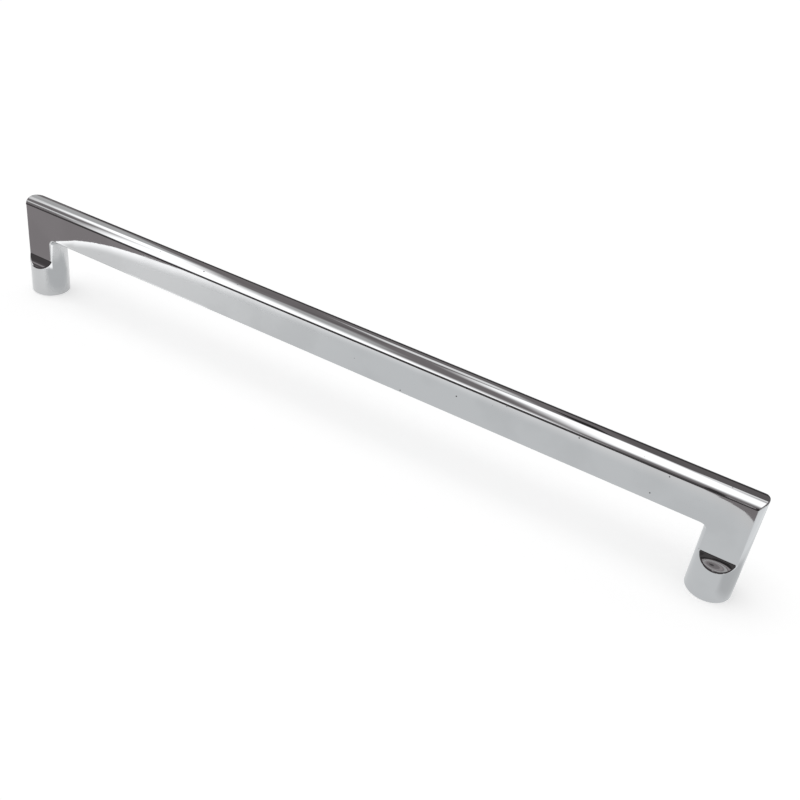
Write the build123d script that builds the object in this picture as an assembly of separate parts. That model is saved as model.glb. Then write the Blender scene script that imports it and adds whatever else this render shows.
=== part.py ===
from build123d import *
from math import radians, tan
import os

# Cabinet bar pull: one polished casting, a flat bar carried by two round legs.
# X runs along the bar, Y from the front face to the back face, Z away from the door.
# The legs stand on the door at Z = 0, and the origin lies midway between them.

# Driving sizes in mm
hole_spacing = 256.0          # between the two screw holes
leg_diameter = 13.5
projection = 35.0             # door to the crown of the cap
bar_depth = 12.65             # crown of the cap to the underside of the bar
face_inset = 2.65             # how far each flat face lies inside the round leg
cap_overhang = 0.35           # how far the cap stands out from the front and back faces
cap_crown_radius = 9.0        # low dome across the cap
cap_edge_radius = 0.7         # rolled edge along the front and back of the cap
cap_end_radius = 0.4          # finer round where the cap ends, flush with the legs
cap_wall = 0.11               # plain wall left between the cap's rolled edge and the bar
tongue_length = 8.25          # underside of the bar down to the top of a scoop
scoop_height = 3.2            # top of a scoop down to its lowest point, on the round leg
scoop_radius = 6.7            # hollow curve of a scoop
scoop_blend_radius = 2.0      # soft turn from a flat face into its scoop
inner_corner_radius = 1.6     # between the underside and a leg
face_edge_radius = 0.6        # round the flat faces and the scoops
foot_edge_radius = 0.4        # where a leg meets the door
thread_diameter = 4.0         # metric screw
thread_pitch = 0.7
screw_hole_depth = 12.0
screw_hole_chamfer = 0.4
drill_tip_angle = 118.0       # whole angle of the cone that ends a screw hole

# Sizes that follow from the driving ones
leg_radius = leg_diameter / 2
leg_offset = hole_spacing / 2
half_thickness = leg_radius - face_inset
underside = projection - bar_depth
scoop_top = underside - tongue_length
scoop_bottom = scoop_top - scoop_height
cap_half_width = half_thickness + cap_overhang
dome_axis = projection - cap_crown_radius
roll_reach = cap_half_width - cap_edge_radius
roll_centre = dome_axis + ((cap_crown_radius - cap_edge_radius)**2 - roll_reach**2) ** 0.5
cap_bottom = roll_centre - cap_wall
tapping_radius = (thread_diameter - thread_pitch) / 2
drill_tip_height = tapping_radius / tan(radians(drill_tip_angle / 2))
whole_length = hole_spacing + leg_diameter
match = 0.001                 # how closely an edge's place is compared

leg_places = Locations((-leg_offset, 0, 0), (leg_offset, 0, 0))
upward = (Align.CENTER, Align.CENTER, Align.MIN)


def near(value, wanted):
    return abs(value - wanted) < match


def bar_outline(half_width):
    """Plan outline along the bar: straight sides, and round ends flush with the legs."""
    with BuildSketch() as outline:
        with Locations((-leg_offset, 0), (leg_offset, 0)):
            Circle(leg_radius)
        Rectangle(hole_spacing, leg_diameter)
        Rectangle(whole_length, 2 * half_width, mode=Mode.INTERSECT)
    return outline.sketch


def scoop_profile():
    """End view of the metal missing at the back of a leg, from its scoop up to the bar's top."""
    top = Vector(half_thickness, scoop_top)
    bottom = Vector(leg_radius, scoop_bottom)
    half_span = (bottom - top) * 0.5
    sag = scoop_radius - (scoop_radius**2 - half_span.length**2) ** 0.5
    deepest = top + half_span + Vector(half_span.Y, -half_span.X).normalized() * sag
    with BuildSketch(Plane.YZ) as profile:
        with BuildLine():
            ThreePointArc((top.X, top.Y), (deepest.X, deepest.Y), (bottom.X, bottom.Y))
            Polyline(
                (bottom.X, bottom.Y),
                (leg_diameter, scoop_bottom),
                (leg_diameter, projection),
                (half_thickness, projection),
                (top.X, top.Y),
            )
        make_face()
        fillet(profile.vertices().filter_by(lambda corner: near(corner.Y, scoop_top)),
               scoop_blend_radius)
    return profile.sketch


def inner_corners(part):
    """Edges between the bar's underside and the sides of the legs that face each other."""
    return part.edges().filter_by(GeomType.CIRCLE).filter_by(
        lambda edge: near(edge.center().Z, underside) and abs(edge.center().X) < leg_offset
    )


def face_outlines(part):
    """Edges round the flat faces and down round the scoops, without the top of the bar."""
    turns = part.edges().filter_by(Axis.X).filter_by(
        lambda edge: scoop_bottom < edge.center().Z < underside
    )
    front_and_back = part.edges().filter_by(
        lambda edge: edge.bounding_box().min.Z > scoop_bottom - match
        and edge.bounding_box().max.Z < cap_bottom + match
        and abs(edge.center().Y) > half_thickness - match
    )
    return front_and_back.filter_by(
        lambda edge: edge not in turns and not near(edge.center().Z, cap_bottom)
    )


def make_bar_and_legs():
    with BuildPart() as casting:
        # Round legs, cut flat at the front and back above the scoops
        with leg_places:
            Cylinder(leg_radius, cap_bottom, align=upward)
        cut = extrude(scoop_profile(), amount=whole_length, both=True, mode=Mode.PRIVATE)
        add(cut, mode=Mode.SUBTRACT)
        add(mirror(cut, about=Plane.XZ), mode=Mode.SUBTRACT)

        # Flat bar from leg to leg, as high as the cap's underside
        with BuildSketch(Plane.XY.offset(underside)):
            add(bar_outline(half_thickness))
        extrude(amount=cap_bottom - underside)

        fillet(inner_corners(casting), inner_corner_radius)
        fillet(face_outlines(casting), face_edge_radius)
        fillet(casting.edges().filter_by(lambda edge: near(edge.center().Z, 0)), foot_edge_radius)

        # Blind screw holes at tapping size, with a chamfered mouth and a drilled tip
        with leg_places:
            Cylinder(tapping_radius, screw_hole_depth, align=upward, mode=Mode.SUBTRACT)
            mouth_radius = tapping_radius + screw_hole_chamfer
            Cone(mouth_radius, tapping_radius, screw_hole_chamfer, align=upward, mode=Mode.SUBTRACT)
            with Locations((0, 0, screw_hole_depth)):
                Cone(tapping_radius, 0, drill_tip_height, align=upward, mode=Mode.SUBTRACT)
    return casting.part


def make_cap():
    with BuildPart() as cap:
        # Domed section with rolled edges, as long as the bar
        with BuildSketch(Plane.YZ) as section:
            with Locations((0, dome_axis)):
                Circle(cap_crown_radius)
            with Locations((0, underside)):
                Rectangle(2 * cap_half_width, bar_depth, align=(Align.CENTER, Align.MIN),
                          mode=Mode.INTERSECT)
            fillet(section.vertices().filter_by(lambda corner: corner.Y > underside + match),
                   cap_edge_radius)
        extrude(amount=whole_length / 2, both=True)

        # Ends flush with the legs
        with BuildSketch(Plane.XY.offset(underside)):
            add(bar_outline(cap_half_width))
        extrude(amount=bar_depth, mode=Mode.INTERSECT)
        fillet(
            cap.edges().filter_by(
                lambda edge: abs(edge.center().X) > leg_offset
                and edge.bounding_box().max.Z > underside + match
            ),
            cap_end_radius,
        )
        split(bisect_by=Plane.XY.offset(cap_bottom), keep=Keep.TOP)
    return cap.part


bar_pull = make_bar_and_legs() + make_cap()

os.makedirs("parts", exist_ok=True)
export_step(bar_pull, "parts/bar_pull.step")
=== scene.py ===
"""Cabinet bar pull: its polished chrome, and the small studio in which it is photographed."""

from math import atan2, cos, hypot, pi, radians, sin

import bmesh
import bpy
from bpy.props import FloatProperty, FloatVectorProperty, PointerProperty
from mathutils import Matrix, Vector
from mathutils.kdtree import KDTree


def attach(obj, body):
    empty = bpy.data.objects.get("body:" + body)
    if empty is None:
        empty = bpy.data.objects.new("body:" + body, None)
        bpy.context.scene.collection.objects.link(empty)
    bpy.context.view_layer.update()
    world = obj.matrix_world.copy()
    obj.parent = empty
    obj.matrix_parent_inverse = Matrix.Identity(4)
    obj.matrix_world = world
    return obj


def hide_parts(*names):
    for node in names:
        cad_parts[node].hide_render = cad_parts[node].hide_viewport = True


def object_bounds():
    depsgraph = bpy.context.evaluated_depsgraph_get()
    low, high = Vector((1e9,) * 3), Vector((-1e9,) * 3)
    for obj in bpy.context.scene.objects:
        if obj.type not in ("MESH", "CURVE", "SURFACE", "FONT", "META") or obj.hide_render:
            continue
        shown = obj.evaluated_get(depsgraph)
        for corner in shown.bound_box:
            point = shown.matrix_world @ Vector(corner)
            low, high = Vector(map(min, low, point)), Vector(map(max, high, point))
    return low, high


bl_info = {
    "name": "Cabinet Bar Pull",
    "version": (1, 0, 0),
    "blender": (4, 5, 0),
    "location": "3D View > Sidebar > Bar Pull",
    "description": "Polished chrome and a product studio for a cast cabinet bar pull",
    "category": "Object",
}

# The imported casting, and its box before anything is added
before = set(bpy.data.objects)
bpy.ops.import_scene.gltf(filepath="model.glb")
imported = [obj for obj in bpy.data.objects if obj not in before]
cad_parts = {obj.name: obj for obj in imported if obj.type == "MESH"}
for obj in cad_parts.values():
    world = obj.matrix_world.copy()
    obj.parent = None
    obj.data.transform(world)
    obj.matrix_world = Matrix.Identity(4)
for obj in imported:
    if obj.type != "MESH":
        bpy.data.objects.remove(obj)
cad_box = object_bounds()

# The dark table begins where the white paper under the pull ends, points in millimetres
MM_PER_METRE = 1000
TABLE_HEIGHT = 0.0002
TABLE_REACH = 4.0                 # how far the table goes on to the left and to the front
PAPER_CORNER_BACK = ((-141.5, -22.0), (-148.0, -29.0), (-155.0, -36.0))
PAPER_FRONT_EDGE = (
    (-155.0, -36.0), (-150.0, -42.0), (-144.0, -45.5), (-137.0, -48.0), (-129.0, -49.5),
    (-121.0, -50.5), (-105.0, -52.0), (-90.0, -54.0), (-71.0, -55.0), (0.0, -56.0),
    (112.0, -52.5), (117.0, -52.0), (123.0, -51.0), (128.0, -49.5), (130.0, -48.0),
    (132.0, -46.0), (133.5, -43.0),
)
TABLE_SHADES = (0.32, 0.27)       # at the left and at the right end of the pull
EDGE_GLOW_WIDTH = 0.007                # width of a glowing strip of painted light along the paper's front edge
EDGE_GLOW_SHADES = (1.75, 0.85)
EDGE_GLOW_HEIGHT = 2 * TABLE_HEIGHT

# Painted glint: a glowing patch on the table beside the left leg, seen only in the chrome, which
# edges the leg with white
GLINT_BRIGHTNESS = 1.6
GLINT_SOFT_EDGE = 0.003
GLINT_HEIGHT = 2 * TABLE_HEIGHT
GLINT_OUTLINE = ((-0.130, -0.032), (-0.070, -0.032), (-0.066, -0.014), (-0.104, -0.012),
                 (-0.109, -0.020), (-0.118, -0.025), (-0.130, -0.027))

# Light and dark on the table in metres: name, height, brightness, soft edge, outline
TABLE_CARDS = (
    ("paper_shade", 0.00010, 0.86, 0.12, ((-0.12, -0.9), (1.2, -0.9), (1.2, 0.9), (-0.12, 0.9))),
    # painted light: the paper right of the right leg glows brighter than the painted shade beside
    # it
    ("right_paper_light", 0.00015, 1.05, 0.010, (
        (0.148, -0.060), (0.30, -0.060), (0.30, 0.20), (0.148, 0.20))),
    ("back_table", 0.00015, 0.05, 0.05, ((-4.0, 0.14), (4.0, 0.14), (4.0, 1.1), (-4.0, 1.1))),
    ("front_table", 0.00025, 0.05, 0.006, (
        (-4.0, -4.0), (4.0, -4.0), (4.0, -0.0545), (-4.0, -0.0545))),
    ("left_leg_shade", 0.00030, 0.70, 0.012, (
        (-0.126, -0.014), (-0.118, -0.034), (-0.098, -0.034), (-0.086, -0.010), (-0.086, 0.018),
        (-0.102, 0.034), (-0.124, 0.024))),
    ("right_leg_shade", 0.00030, 0.68, 0.006, (
        (0.133, -0.010), (0.140, -0.019), (0.152, -0.015), (0.155, 0.004), (0.150, 0.016),
        (0.133, 0.014))),
)

# Room round the table as the chrome shows it, in metres: name, brightness, soft edge, outline
CEILING_HEIGHT = 0.5
CARD_STEP = 0.003                 # each card hangs this far in front of the one before it
CEILING_CARDS = (
    ("ceiling", 0.25, 0.0, ((-2.2, -1.2), (1.2, -1.2), (1.2, 0.5), (-2.2, 0.5))),
    ("front_ceiling", 0.11, 0.08, ((-2.2, -1.2), (1.2, -1.2), (1.2, -0.12), (-2.2, -0.20))),
    ("left_glow", 0.36, 0.025, ((-0.79, -0.45), (-0.63, -0.45), (-0.63, -0.31), (-0.79, -0.31))),
    ("far_skylight", 0.95, 0.04, ((-0.84, 0.25), (-0.62, 0.22), (-0.54, 0.5), (-0.84, 0.5))),
    ("end_lamp", 0.95, 0.012, ((-0.625, 0.062), (-0.515, 0.062), (-0.515, 0.125), (-0.625, 0.125))),
    ("window_haze", 0.60, 0.05, (
        (-0.43, 0.12), (-0.17, 0.06), (-0.16, 0.20), (-0.24, 0.33), (-0.40, 0.33))),
    ("left_skylight", 1.85, 0.09, (
        (-0.54, -0.22), (-0.54, 0.12), (-0.53, 0.20), (-0.62, 0.24), (-0.69, 0.32), (-0.68, 0.45),
        (-0.60, 0.52), (-0.50, 0.52), (-0.43, 0.44), (-0.39, 0.35), (-0.35, 0.29), (-0.28, 0.20),
        (-0.22, 0.16), (-0.12, 0.115), (0.0, 0.07), (0.04, -0.22))),
    ("right_skylight", 1.85, 0.09, (
        (-0.03, 0.05), (0.26, 0.02), (0.27, 0.34), (0.15, 0.37), (0.11, 0.43), (0.06, 0.50),
        (-0.02, 0.54), (-0.14, 0.54), (-0.20, 0.49), (-0.20, 0.38), (-0.16, 0.29), (-0.10, 0.22),
        (-0.07, 0.14))),
    ("corner_skylight", 1.2, 0.03, ((0.05, 0.38), (0.17, 0.37), (0.17, 0.5), (0.05, 0.5))),
    ("left_boom", 0.18, 0.05, ((-0.36, 0.34), (-0.22, 0.34), (-0.22, 0.48), (-0.40, 0.48))),
)
BACK_WALL_PLACE = 1.0
BACK_WALL_CARDS = (
    ("back_wall", 0.22, 0.0, ((-4.0, 0.0), (4.0, 0.0), (4.0, 1.3), (-4.0, 1.3))),
    # painted light: glowing patches on the back wall, standing for lit curtains
    ("left_curtain_glow", 0.60, 0.09, ((-1.55, 0.22), (-0.88, 0.30), (-0.88, 1.05), (-1.55, 1.05))),
    ("right_curtain_glow", 1.15, 0.09, ((-0.60, 0.50), (-0.22, 0.50), (-0.24, 0.88), (-0.58, 0.88))),
    ("dark_corner", 0.16, 0.05, ((-0.12, 0.0), (3.0, 0.0), (3.0, 1.1), (-0.12, 1.1))),
    ("skirting", 0.06, 0.03, ((-1.0, -0.03), (4.0, -0.03), (4.0, 0.20), (-1.0, 0.20))),
    ("lamp_pole", 0.035, 0.015, ((-0.20, 0.5), (-0.12, 0.5), (-0.12, 0.95), (-0.20, 0.95))),
)
FRONT_WALL_PLACE = -0.6
FRONT_WALL_CARDS = (
    ("front_wall", 0.085, 0.0, ((-4.0, 0.0), (4.0, 0.0), (4.0, 0.6), (-4.0, 0.6))),
    ("left_window", 1.6, 0.05, ((-2.6, 0.02), (-1.05, 0.02), (-1.05, 0.55), (-2.6, 0.55))),
)

# Camera lens, placed and stretched so that the hollow right scoop mirrors it small and whole
LENS_PLACE = (0.1175, -0.194, 0.218)
LENS_STRETCH = 15.0               # the hollow scoop draws this much height as one width
LENS_STEP = 0.001                 # each ring stands this far in front of the one before it
LENS_CORNERS = 48
HOOD_SHADE = 0.05                 # the hood hides the lens from the cap
HOOD_HALF_WIDTH = 0.0106
HOOD_DEPTH = 0.12

# Rings of the lens: name, brightness, shift to the side, half width
LENS_RINGS = (
    ("lens_barrel", 0.035, 0.0, 0.0105),
    ("lens_rim", 0.42, 0.0, 0.0083),
    ("lens_outer_gap", 0.22, -0.0004, 0.0072),
    ("lens_front_glass", 0.56, -0.0006, 0.0066),
    ("lens_middle_gap", 0.30, -0.0010, 0.0054),
    ("lens_rear_glass", 0.40, -0.0013, 0.0047),
    ("lens_inner_gap", 0.25, -0.0016, 0.0037),
    ("lens_pupil", 0.08, -0.0022, 0.0013),
)

# Light of the cards as red, green and blue
LIT_FROM = 0.5                     # a card brighter than this is a lamp, a window or lit paper
DIM_LIGHT = (1.05, 0.965, 0.985)   # the unlit room is a warm grey
LAMP_LIGHT = (1.005, 1.0, 1.0)
PAPER_LIGHT = (0.985, 1.0, 1.012)  # white paper looks a little cooler than the lamps

# Camera of the render
FILM_WIDTH = 36.0                 # in millimetres
NEAREST_SEEN = 0.01               # in metres

# Plating, where the noises run from 0 to 1
HAZY_FROM, HAZY_TO = 0.45, 0.75
SMUDGED_FROM, SMUDGED_TO = 0.42, 0.62
HAZE_DETAIL, SMUDGE_DETAIL, WAVE_DETAIL = 4.0, 3.0, 1.0  # how finely each noise breaks up
LINE_STRETCH = 0.02               # how fast a polishing line changes along the bar, as a share
PIT_RANGE = 3                     # radius of the largest pinhole over that of the smallest
PIT_FLOOR = 0.35                  # share of a pinhole's radius that lies at its full depth

# Tapped holes
TAPPED_ROUGHNESS = (0.32, 0.48)   # between the rings that the tap leaves, and on them
TAP_WANDER = 2.0                  # how far those rings stray from level
TAP_DETAIL = 2.0
FULL_TURN = 2 * pi
THREAD_STEPS = 12                 # rings of points for each turn of a thread
THREAD_RUN_IN = 2                 # the groove reaches its full depth in one pitch over this
SAME_PLACE = 1e-6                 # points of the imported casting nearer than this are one
SAME_RADIUS = 2e-5                # how closely a point of a hole's wall is recognised
SAME_ANGLE = 0.01                 # points of a rim nearer than this angle are one
WALL_SLOPE = 0.5                  # a face whose normal rises less than this belongs to a wall


def length(name, description, default):
    """A size in metres that a user can change in the sidebar."""
    return FloatProperty(name=name, description=description, default=default, unit="LENGTH",
                         subtype="DISTANCE", precision=4)


def share(name, description, default):
    """A plain number from nought upwards."""
    return FloatProperty(name=name, description=description, default=default, min=0.0,
                         subtype="FACTOR", soft_max=1.0, precision=3)


def place(name, description, default):
    """A point in metres."""
    return FloatVectorProperty(name=name, description=description, default=default, size=3,
                               unit="LENGTH", subtype="TRANSLATION", precision=4)


def colour(name, description, default):
    """A colour as red, green and blue from 0 to 1."""
    return FloatVectorProperty(name=name, description=description, default=default, size=3,
                               subtype="COLOR", min=0.0, max=1.0)


class ChromeFinish(bpy.types.PropertyGroup):
    """Polished plating of the casting"""
    tint: colour("Chrome", "Colour of the polished plating", (0.570, 0.578, 0.586))
    # Painted shade: the colour that darkens the inside of each pinhole
    pit_shade: colour("Pit", "Colour down in a pinhole of the plating", (0.07, 0.065, 0.065))
    polish: share("Polish", "Roughness of the clean mirror", 0.02)
    smudge: share("Smudge", "How much darker the plating looks where it is smudged", 0.05)
    smudge_size: length("Smudge size", "Distance from one smudge to the next", 0.018)
    haze: share("Haze", "Extra roughness in the hazy patches", 0.05)
    haze_size: length("Haze patches", "Distance from one hazy patch to the next", 0.014)
    ripple: length("Ripple height", "Height of the slow ripple left by the polishing wheel",
                   0.000012)
    ripple_size: length("Ripple size", "Distance from one slow ripple to the next", 0.016)
    line_height: length("Polishing lines", "Height of the fine lines along the bar", 0.0000004)
    line_spacing: length("Line spacing", "Distance between fine polishing lines", 0.0003)
    pit_radius: length("Pit radius", "Radius of the largest pinholes in the plating", 0.00030)
    pit_depth: length("Pit depth", "Depth of the largest pinholes", 0.00006)
    pit_spacing: length("Pit spacing", "Distance between pinholes through the metal", 0.0044)


class ScrewHoles(bpy.types.PropertyGroup):
    """Two tapped holes, one in the base of each leg"""
    spacing: length("Hole spacing", "Between the two screw holes", 0.256)
    tapping_diameter: length("Tapping hole", "Diameter of the drilled hole", 0.0033)
    thread_diameter: length("Thread", "Outside diameter of the metric screw", 0.004)
    pitch: length("Pitch", "From one turn of the thread to the next", 0.0007)
    mouth: length("Mouth", "Depth of the chamfer where the thread begins", 0.0004)
    thread_end: length("Thread end", "Depth to which the tap reaches", 0.0108)
    depth: length("Hole depth", "Depth of the drilled hole", 0.012)
    crest: share("Crest", "Share of the pitch left flat on the thread's crest", 0.25)
    root: share("Root", "Share of the pitch that is flat at the bottom of the groove", 0.17)
    bare_metal: colour("Bare metal", "Colour of the tapped zinc alloy", (0.46, 0.46, 0.48))


class StudioSettings(bpy.types.PropertyGroup):
    """Camera, floor and lights"""
    camera_place: place("Camera", "Where the photograph was taken from",
                        (0.14006, -0.23791, 0.19153))
    camera_aim: place("Aim", "Point at the middle of the picture", (0.02331, 0.0, 0.01687))
    camera_roll: FloatProperty(name="Roll", description="Turn of the camera about its own view",
                               default=radians(8.47), subtype="ANGLE", unit="ROTATION")
    lens: FloatProperty(name="Lens", description="Focal length on a 36 mm frame", default=45.73,
                        min=10.0, subtype="DISTANCE_CAMERA")
    floor_size: length("Floor", "Side of the pale floor", 8.0)
    floor_colour: colour("Floor colour", "Colour of the pale paper on the floor",
                         (0.80, 0.80, 0.80))
    floor_glow: share("Floor lift", "How far the paper is lifted to white where it is seen",
                      0.47)
    room_light: share("Room light", "Strength of the even light all round", 0.45)
    lamp_direction: FloatVectorProperty(
        name="Lamp", description="Direction of the soft lamp from the pull",
        default=(-0.35, -0.15, 1.1), size=3, subtype="XYZ")
    lamp_width: FloatProperty(
        name="Lamp width", description="How wide the soft lamp looks from the pull",
        default=radians(48), subtype="ANGLE", unit="ROTATION")
    lamp_strength: share("Lamp strength", "Strength of the soft lamp", 0.83)


def shader(tree, kind, sockets=(), **options):
    """A node with its options set, and its sockets filled or wired by name or number."""
    node = tree.nodes.new("ShaderNode" + kind)
    for option, value in options.items():
        setattr(node, option, value)
    for socket, value in dict(sockets).items():
        if isinstance(value, bpy.types.NodeSocket):
            tree.links.new(value, node.inputs[socket])
        else:
            node.inputs[socket].default_value = value
    return node


def empty_material(name):
    """A new material and its node tree, with no nodes in it yet."""
    material = bpy.data.materials.new(name)
    material.use_nodes = True
    material.node_tree.nodes.clear()
    return material, material.node_tree


def opaque(rgb):
    """A colour with its alpha, as the sockets of a shader take it."""
    return (*rgb, 1.0)


def ramp(tree, value, low, high, bottom=0.0, top=1.0):
    """Turns low..high into bottom..top with soft ends."""
    return shader(tree, "MapRange", {"Value": value, "From Min": low, "From Max": high,
                                     "To Min": bottom, "To Max": top},
                  interpolation_type="SMOOTHSTEP").outputs["Result"]


def noise(tree, where, spacing, detail):
    """Cloudy noise from 0 to 1, with its patches this far apart."""
    return shader(tree, "TexNoise", {"Vector": where, "Scale": 1 / spacing,
                                     "Detail": detail}).outputs["Fac"]


def relief(tree, height, distance, **options):
    """A surface raised by a height from 0 to 1, which stands for a distance in metres."""
    return shader(tree, "Bump", {"Height": height, "Distance": distance, "Strength": 1.0},
                  **options)


def blend(tree, amount, first, second):
    """Mixes two colours, which a mix node takes in its sockets 6 and 7 and gives in its third."""
    return shader(tree, "Mix", {"Factor": amount, 6: first, 7: second},
                  data_type="RGBA").outputs[2]


def pinholes(tree, where, look):
    """1 down in a pinhole and 0 on the plating round it, with pinholes of many sizes."""
    cells = shader(tree, "TexVoronoi", {"Vector": where, "Scale": 1 / look.pit_spacing})
    sizes = shader(tree, "SeparateColor", {"Color": cells.outputs["Color"]}).outputs["Red"]
    widest = look.pit_radius / look.pit_spacing
    reach = ramp(tree, sizes, 0.0, 1.0, widest / PIT_RANGE, widest)
    nearness = shader(tree, "Math", {0: cells.outputs["Distance"], 1: reach},
                      operation="DIVIDE").outputs[0]
    return ramp(tree, nearness, PIT_FLOOR, 1.0, 1.0, 0.0)


def chrome_plate(look):
    """Mirror chrome with haze, smudges, slow ripples, fine polishing lines and a few pinholes;
    painted shade darkens the pinholes.
    """
    material, tree = empty_material("chrome_plate")
    where = shader(tree, "TexCoord").outputs["Object"]

    haze = noise(tree, where, look.haze_size, HAZE_DETAIL)
    roughness = ramp(tree, haze, HAZY_FROM, HAZY_TO, look.polish, look.polish + look.haze)

    ripples = noise(tree, where, look.ripple_size, WAVE_DETAIL)
    rippled = relief(tree, ripples, look.ripple)
    drawn_out = shader(tree, "Mapping", {"Vector": where, "Scale": (LINE_STRETCH, 1.0, 1.0)})
    lines = noise(tree, drawn_out.outputs["Vector"], look.line_spacing, WAVE_DETAIL)
    lined = relief(tree, lines, look.line_height)
    pit = pinholes(tree, where, look)
    pitted = relief(tree, pit, look.pit_depth, invert=True)
    tree.links.new(rippled.outputs["Normal"], lined.inputs["Normal"])
    tree.links.new(lined.outputs["Normal"], pitted.inputs["Normal"])

    smudges = noise(tree, where, look.smudge_size, SMUDGE_DETAIL)
    smudge_tint = [(1 - look.smudge) * value for value in look.tint]
    plate = blend(tree, ramp(tree, smudges, SMUDGED_FROM, SMUDGED_TO), opaque(look.tint),
                  opaque(smudge_tint))
    # Painted shade: the pinholes are coloured nearly black
    tint = blend(tree, pit, plate, opaque(look.pit_shade))

    metal = shader(tree, "BsdfPrincipled", {
        "Base Color": tint, "Metallic": 1.0, "Roughness": roughness,
        "Normal": pitted.outputs["Normal"]})
    shader(tree, "OutputMaterial", {"Surface": metal.outputs["BSDF"]})
    return material


def cut_metal(holes):
    """Bare zinc alloy of the tapped holes, with the fine rings that the tap leaves."""
    material, tree = empty_material("cut_metal")
    where = shader(tree, "TexCoord").outputs["Object"]
    rings = shader(tree, "TexWave", {"Vector": where, "Scale": 1 / holes.pitch,
                                     "Distortion": TAP_WANDER, "Detail": TAP_DETAIL},
                   bands_direction="Z").outputs["Fac"]
    metal = shader(tree, "BsdfPrincipled", {
        "Base Color": opaque(holes.bare_metal), "Metallic": 1.0,
        "Roughness": ramp(tree, rings, 0.0, 1.0, *TAPPED_ROUGHNESS)})
    shader(tree, "OutputMaterial", {"Surface": metal.outputs["BSDF"]})
    return material


def groove(phase, holes):
    """Depth of the thread's groove, from 0 on its crest to 1 at its root, over one pitch."""
    flank = (1 - holes.crest - holes.root) / 2
    into, out_of = (phase - holes.crest) / flank, (1 - phase) / flank
    return max(0.0, min(1.0, into, out_of))


def fade(value):
    """0 at nought and below, 1 at one and above, and a smooth climb between them."""
    value = max(0.0, min(1.0, value))
    return value * value * (3 - 2 * value)


def thread_wall(centre_x, angles, holes):
    """Rings of points up the wall of a tapped hole, on a right-handed thread."""
    drilled = holes.tapping_diameter / 2
    groove_depth = holes.thread_diameter / 2 - drilled
    count = round((holes.depth - holes.mouth) / holes.pitch * THREAD_STEPS)
    rings = []
    for step in range(count + 1):
        height = holes.mouth + (holes.depth - holes.mouth) * step / count
        begun = fade((height - holes.mouth) * THREAD_RUN_IN / holes.pitch)
        ended = fade((holes.thread_end - height) / holes.pitch)
        ring = []
        for angle in angles:
            phase = (height / holes.pitch - angle / FULL_TURN) % 1
            radius = drilled + groove_depth * (begun * ended) * groove(phase, holes)
            ring.append((centre_x + radius * cos(angle), radius * sin(angle), height))
        rings.append(ring)
    return rings


def separate_turns(angles):
    """The angles in order within one full turn, with those that lie together counted once."""
    turns = []
    for angle in sorted(angle % FULL_TURN for angle in angles):
        if not turns or angle - turns[-1] > SAME_ANGLE:
            turns.append(angle)
    if turns and turns[0] + FULL_TURN - turns[-1] < SAME_ANGLE:
        turns.pop()
    return turns


class PointList:
    """Numbered points of a mesh, in which points that lie together are one."""

    def __init__(self):
        self.places = []
        self.numbers = {}

    def number(self, point):
        """The number of the point at this place, which is new if none lies there yet."""
        key = tuple(round(value / SAME_PLACE) for value in point)
        if key not in self.numbers:
            self.numbers[key] = len(self.places)
            self.places.append(tuple(point))
        return self.numbers[key]


def on_wall(point, centre_x, holes):
    """Whether a point lies on the plain drilled wall of the hole at centre_x."""
    off_axis = hypot(point.x - centre_x, point.y)
    inside = holes.mouth - SAME_RADIUS < point.z < holes.depth + SAME_RADIUS
    return inside and abs(off_axis - holes.tapping_diameter / 2) < SAME_RADIUS


def plated_faces(points, holes):
    """Packed faces and corner normals without the hole walls, and the angles of each wall."""
    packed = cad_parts["bar_pull"].data
    wall_angles = {-holes.spacing / 2: [], holes.spacing / 2: []}
    faces, normals = [], []
    for face in packed.polygons:
        corners = [packed.vertices[index].co for index in face.vertices]
        walls = [centre_x for centre_x in wall_angles
                 if all(on_wall(corner, centre_x, holes) for corner in corners)]
        if walls and abs(face.normal.z) < WALL_SLOPE:
            centre_x = walls[0]
            wall_angles[centre_x] += [atan2(corner.y, corner.x - centre_x) for corner in corners]
            continue
        numbered = [points.number(corner) for corner in corners]
        if len(set(numbered)) == len(numbered):
            faces.append(numbered)
            normals += [packed.corner_normals[index].vector.copy() for index in face.loop_indices]
    return faces, normals, wall_angles


def threaded_faces(points, packed_points, centre_x, angles, holes):
    """Faces of one threaded wall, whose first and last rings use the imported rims' own points."""
    def on_rim(point):
        index, gap = packed_points.find(point)[1:]
        return index if gap < SAME_RADIUS else points.number(point)

    turns = separate_turns(angles)
    if not turns:
        raise RuntimeError("no wall was found for the screw hole at x = %.4f" % centre_x)
    mouth, *wall, end = thread_wall(centre_x, turns, holes)
    rings = [[on_rim(point) for point in mouth]]
    rings += [[points.number(point) for point in ring] for ring in wall]
    rings.append([on_rim(point) for point in end])
    faces = []
    for low, high in zip(rings, rings[1:]):
        for here in range(len(turns)):
            there = (here + 1) % len(turns)
            faces.append((low[there], low[here], high[here], high[there]))
    return faces


def tapped_casting(holes):
    """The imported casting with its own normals, and threads in place of the plain hole walls."""
    points = PointList()
    faces, normals, wall_angles = plated_faces(points, holes)
    plated_count = len(faces)
    packed_points = KDTree(len(points.places))
    for index, point in enumerate(points.places):
        packed_points.insert(point, index)
    packed_points.balance()
    for centre_x, angles in wall_angles.items():
        threads = threaded_faces(points, packed_points, centre_x, angles, holes)
        faces += threads
        normals += [Vector()] * (4 * len(threads))

    mesh = bpy.data.meshes.new("plated_bar_pull")
    mesh.from_pydata(points.places, [], faces)
    mesh.shade_smooth()
    mesh.normals_split_custom_set(normals)
    for face in mesh.polygons[plated_count:]:
        face.material_index = 1
    return mesh


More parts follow.
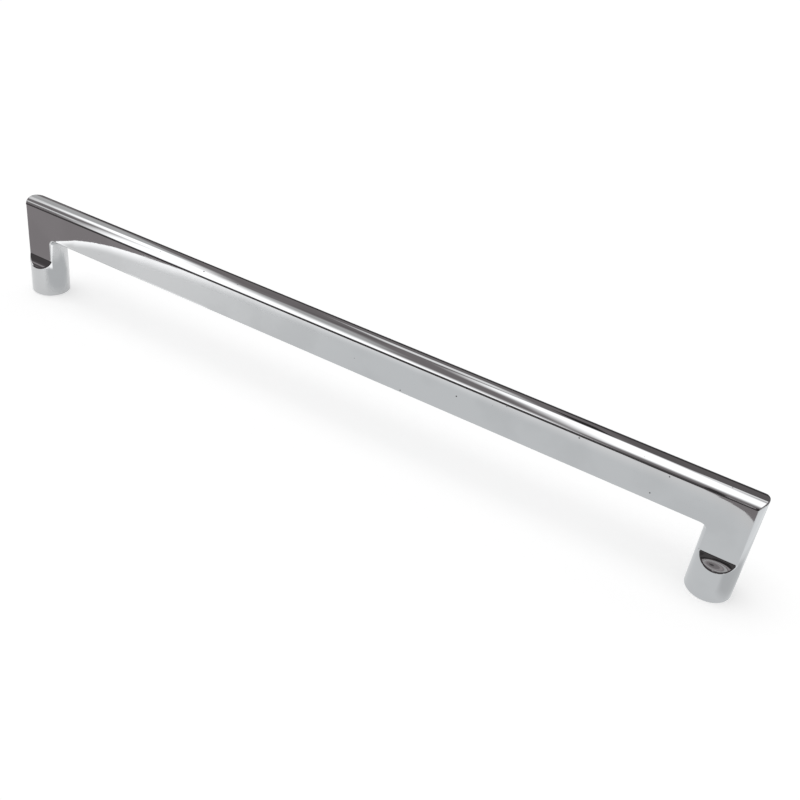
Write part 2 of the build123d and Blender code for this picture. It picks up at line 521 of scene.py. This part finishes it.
def seen_or_mirrored(tree):
    """1 for rays from the camera and for those that metal or glass sends on, 0 for the rest."""
    path = shader(tree, "LightPath").outputs
    mirrored = shader(tree, "Math", {0: path["Is Glossy Ray"], 1: path["Is Transmission Ray"]},
                      operation="MAXIMUM").outputs[0]
    return shader(tree, "Math", {0: path["Is Camera Ray"], 1: mirrored},
                  operation="MAXIMUM").outputs[0]


def floor_paper(studio):
    """Pale paper, lifted to white where it is seen, that still takes the shadow of the pull."""
    material, tree = empty_material("floor_paper")
    paper = shader(tree, "BsdfDiffuse", {"Color": opaque(studio.floor_colour)}).outputs["BSDF"]
    lift = shader(tree, "Math", {0: seen_or_mirrored(tree), 1: studio.floor_glow},
                  operation="MULTIPLY").outputs[0]
    glow = shader(tree, "Emission", {"Strength": lift}).outputs["Emission"]
    both = shader(tree, "AddShader", {0: paper, 1: glow}).outputs["Shader"]
    shader(tree, "OutputMaterial", {"Surface": both})
    return material


def card_glow(name, shades, lit):
    """Light of a card, from its left to its right shade, that fades out over its soft edge."""
    material, tree = empty_material(name)
    left, right = shades
    strength = left
    if left != right:
        where = shader(tree, "TexCoord").outputs["Object"]
        across = shader(tree, "SeparateXYZ", {"Vector": where}).outputs["X"]
        low, high = cad_box
        strength = shader(tree, "MapRange", {
            "Value": across, "From Min": low[0], "From Max": high[0],
            "To Min": left, "To Max": right}).outputs["Result"]
    light = lit if max(shades) > LIT_FROM else DIM_LIGHT
    glow = shader(tree, "Emission", {"Color": opaque(light), "Strength": strength})
    clear = shader(tree, "BsdfTransparent")
    cover = shader(tree, "Attribute", attribute_name="cover").outputs["Fac"]
    shown = shader(tree, "MixShader", {"Fac": ramp(tree, cover, 0.0, 1.0),
                                       1: clear.outputs["BSDF"], 2: glow.outputs["Emission"]})
    shader(tree, "OutputMaterial", {"Surface": shown.outputs["Shader"]})
    return material


def add_card(name, shape, material):
    """Turns a drawn shape into a card that shows only as a reflection and casts no shadow."""
    mesh = bpy.data.meshes.new(name)
    shape.to_mesh(mesh)
    shape.free()
    mesh.materials.append(material)
    card = bpy.data.objects.new(name, mesh)
    bpy.context.scene.collection.objects.link(card)
    card.visible_camera = False
    card.visible_diffuse = False
    card.visible_shadow = False


def shaded_card(name, corners, shades, soft_edge=0.0, lit=LAMP_LIGHT):
    """A flat card whose light runs from one shade to another and fades over its soft edge."""
    shape = bmesh.new()
    face = shape.faces.new([shape.verts.new(corner) for corner in corners])
    cover = shape.verts.layers.float.new("cover")
    if soft_edge:
        face.normal_update()
        bmesh.ops.inset_region(shape, faces=[face], thickness=soft_edge, use_boundary=True,
                               use_even_offset=True)
    for corner in face.verts:
        corner[cover] = 1.0
    add_card(name, shape, card_glow(name, shades, lit))


def even_card(name, corners, brightness, soft_edge=0.0, lit=LAMP_LIGHT):
    """A flat card that is equally bright all over, but for its soft edge."""
    shaded_card(name, corners, (brightness, brightness), soft_edge, lit)


def glowing_edge_strip(name, edge, width, height, shades):
    """A strip of painted light along a paper's edge, brightest at the edge and gone one width
    inside it.
    """
    shape = bmesh.new()
    cover = shape.verts.layers.float.new("cover")
    rows = []
    for before, here, after in zip(edge[:1] + edge[:-1], edge, edge[1:] + edge[-1:]):
        run = (Vector(after) - Vector(before)).normalized()
        inside = Vector(here) + width * Vector((-run.y, run.x))
        rows.append((shape.verts.new((*here, height)), shape.verts.new((*inside, height))))
        rows[-1][0][cover] = 1.0
    for (edge_a, inside_a), (edge_b, inside_b) in zip(rows, rows[1:]):
        shape.faces.new((edge_a, edge_b, inside_b, inside_a))
    add_card(name, shape, card_glow(name, shades, LAMP_LIGHT))


def add_floor(studio):
    """Square of pale paper under the pull."""
    half = studio.floor_size / 2
    corners = [(-half, -half, 0), (half, -half, 0), (half, half, 0), (-half, half, 0)]
    mesh = bpy.data.meshes.new("floor")
    mesh.from_pydata(corners, [], [(0, 1, 2, 3)])
    mesh.materials.append(floor_paper(studio))
    floor = bpy.data.objects.new("floor", mesh)
    bpy.context.scene.collection.objects.link(floor)


def add_table():
    """Dark table round the paper, the painted light along the paper's edge, and what lies light and
    dark on them.
    """
    edge = [(x / MM_PER_METRE, y / MM_PER_METRE)
            for x, y in PAPER_CORNER_BACK[:-1] + PAPER_FRONT_EDGE]
    table = [(-TABLE_REACH, edge[0][1]), *edge, (edge[-1][0], -TABLE_REACH),
             (-TABLE_REACH, -TABLE_REACH)]
    shaded_card("dark_table", [(x, y, TABLE_HEIGHT) for x, y in table], TABLE_SHADES)
    # Painted light: the paper's front edge glows brighter than the lit paper
    glowing_edge_strip("paper_edge_glow", edge, EDGE_GLOW_WIDTH, EDGE_GLOW_HEIGHT, EDGE_GLOW_SHADES)
    for name, height, brightness, soft_edge, outline in TABLE_CARDS:
        even_card(name, [(x, y, height) for x, y in outline], brightness, soft_edge, PAPER_LIGHT)
    # Painted glint: a glowing patch that edges the left leg with white in the chrome
    even_card("leg_glint", [(x, y, GLINT_HEIGHT) for x, y in GLINT_OUTLINE], GLINT_BRIGHTNESS,
              GLINT_SOFT_EDGE)


def ceiling_corner(x, y, height):
    """A corner of a level card."""
    return x, y, height


def wall_corner(x, z, depth):
    """A corner of an upright card that faces the pull's front or back."""
    return x, depth, z


def hang_cards(cards, depth, step, corner):
    """Hangs cards at a depth, each a step from the one before; corner makes each point."""
    for count, (name, brightness, soft_edge, outline) in enumerate(cards):
        corners = [corner(across, up, depth + count * step) for across, up in outline]
        even_card(name, corners, brightness, soft_edge)


def add_room():
    """Ceiling and walls of the room, with the lights and the dark things before them."""
    hang_cards(CEILING_CARDS, CEILING_HEIGHT, -CARD_STEP, ceiling_corner)
    hang_cards(BACK_WALL_CARDS, BACK_WALL_PLACE, -CARD_STEP, wall_corner)
    hang_cards(FRONT_WALL_CARDS, FRONT_WALL_PLACE, CARD_STEP, wall_corner)


def add_world(studio):
    """White where it is seen or mirrored, and a plain even light for everything else."""
    world = bpy.data.worlds.new("white_room")
    world.use_nodes = True
    tree = world.node_tree
    tree.nodes.clear()
    strength = shader(tree, "MapRange", {"Value": seen_or_mirrored(tree),
                                         "To Min": studio.room_light, "To Max": 1.0})
    light = shader(tree, "Background", {"Color": opaque((1.0, 1.0, 1.0)),
                                        "Strength": strength.outputs["Result"]})
    shader(tree, "OutputWorld", {"Surface": light.outputs["Background"]})
    bpy.context.scene.world = world


def add_lamp(studio):
    """Soft lamp over the left end, which the chrome doesn't mirror."""
    light = bpy.data.lights.new("soft_lamp", "SUN")
    light.angle = studio.lamp_width
    light.energy = studio.lamp_strength
    lamp = bpy.data.objects.new("soft_lamp", light)
    lamp.location = studio.lamp_direction
    lamp.rotation_euler = Vector(studio.lamp_direction).to_track_quat("Z", "Y").to_euler()
    lamp.visible_glossy = False
    bpy.context.scene.collection.objects.link(lamp)


def add_lens():
    """Rings and hood of the camera's lens, turned to the pull."""
    centre = Vector(LENS_PLACE)
    sideways = Vector((1.0, 0.0, 0.0))
    forwards = Vector((0.0, -centre.y, -centre.z)).normalized()
    upwards = sideways.cross(forwards)
    turns = [FULL_TURN * corner / LENS_CORNERS for corner in range(LENS_CORNERS)]
    for step, (name, brightness, shift, half_width) in enumerate(LENS_RINGS):
        middle = centre + shift * sideways + step * LENS_STEP * forwards
        even_card(name, [middle + half_width * (cos(turn) * sideways
                                                + LENS_STRETCH * sin(turn) * upwards)
                         for turn in turns], brightness)
    height = LENS_STRETCH * HOOD_HALF_WIDTH * upwards
    for name, offset in (("lens_hood_left", -HOOD_HALF_WIDTH),
                         ("lens_hood_right", HOOD_HALF_WIDTH)):
        back = centre + offset * sideways
        front = back + HOOD_DEPTH * forwards
        even_card(name, [back - height, front - height, front + height, back + height],
                  HOOD_SHADE)


def add_camera(studio):
    """Camera at the place, angle and roll of the photograph."""
    lens = bpy.data.cameras.new("photo_camera")
    lens.sensor_width = FILM_WIDTH
    lens.lens = studio.lens
    lens.clip_start = NEAREST_SEEN
    camera = bpy.data.objects.new("photo_camera", lens)
    camera.location = studio.camera_place
    view = Vector(studio.camera_aim) - Vector(studio.camera_place)
    turn = view.to_track_quat("-Z", "Y").to_matrix() @ Matrix.Rotation(studio.camera_roll, 3, "Z")
    camera.rotation_euler = turn.to_euler()
    bpy.context.scene.collection.objects.link(camera)
    bpy.context.scene.camera = camera


class BARPULL_OT_make_casting(bpy.types.Operator):
    """Builds the one-piece pull with its tapped holes and gives it its polished chrome"""
    bl_idname = "bar_pull.make_casting"
    bl_label = "Make the Plated Casting"

    def execute(self, context):
        holes = context.scene.screw_holes
        mesh = tapped_casting(holes)
        mesh.materials.append(chrome_plate(context.scene.chrome_finish))
        mesh.materials.append(cut_metal(holes))
        casting = bpy.data.objects.new("plated_bar_pull", mesh)
        context.scene.collection.objects.link(casting)
        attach(casting, "root")
        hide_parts("bar_pull")
        return {"FINISHED"}


class BARPULL_OT_set_stage(bpy.types.Operator):
    """Builds the floor, the lights, the room that the chrome mirrors and the camera"""
    bl_idname = "bar_pull.set_stage"
    bl_label = "Set the Stage"

    def execute(self, context):
        studio = context.scene.studio
        add_floor(studio)
        add_table()
        add_room()
        add_world(studio)
        add_lamp(studio)
        add_lens()
        add_camera(studio)
        context.scene.view_settings.view_transform = "Standard"
        return {"FINISHED"}


class BARPULL_PT_sidebar(bpy.types.Panel):
    """Sizes and finishes of the pull and its studio, with a button for each"""
    bl_idname = "BARPULL_PT_sidebar"
    bl_label = "Bar Pull"
    bl_space_type = "VIEW_3D"
    bl_region_type = "UI"
    bl_category = "Bar Pull"

    def draw(self, context):
        scene = context.scene
        for operator, groups in (
                (BARPULL_OT_make_casting, (scene.chrome_finish, scene.screw_holes)),
                (BARPULL_OT_set_stage, (scene.studio,))):
            box = self.layout.box()
            for settings in groups:
                for name in settings.__annotations__:
                    box.prop(settings, name)
            box.operator(operator.bl_idname)


CLASSES = (ChromeFinish, ScrewHoles, StudioSettings, BARPULL_OT_make_casting, BARPULL_OT_set_stage,
           BARPULL_PT_sidebar)


def register():
    for cls in CLASSES:
        bpy.utils.register_class(cls)
    bpy.types.Scene.chrome_finish = PointerProperty(type=ChromeFinish)
    bpy.types.Scene.screw_holes = PointerProperty(type=ScrewHoles)
    bpy.types.Scene.studio = PointerProperty(type=StudioSettings)


def unregister():
    del bpy.types.Scene.studio
    del bpy.types.Scene.screw_holes
    del bpy.types.Scene.chrome_finish
    for cls in reversed(CLASSES):
        bpy.utils.unregister_class(cls)


def main():
    """Makes the pull and its stage."""
    register()
    bpy.ops.bar_pull.make_casting()
    bpy.ops.bar_pull.set_stage()


if __name__ == "__main__":
    main()
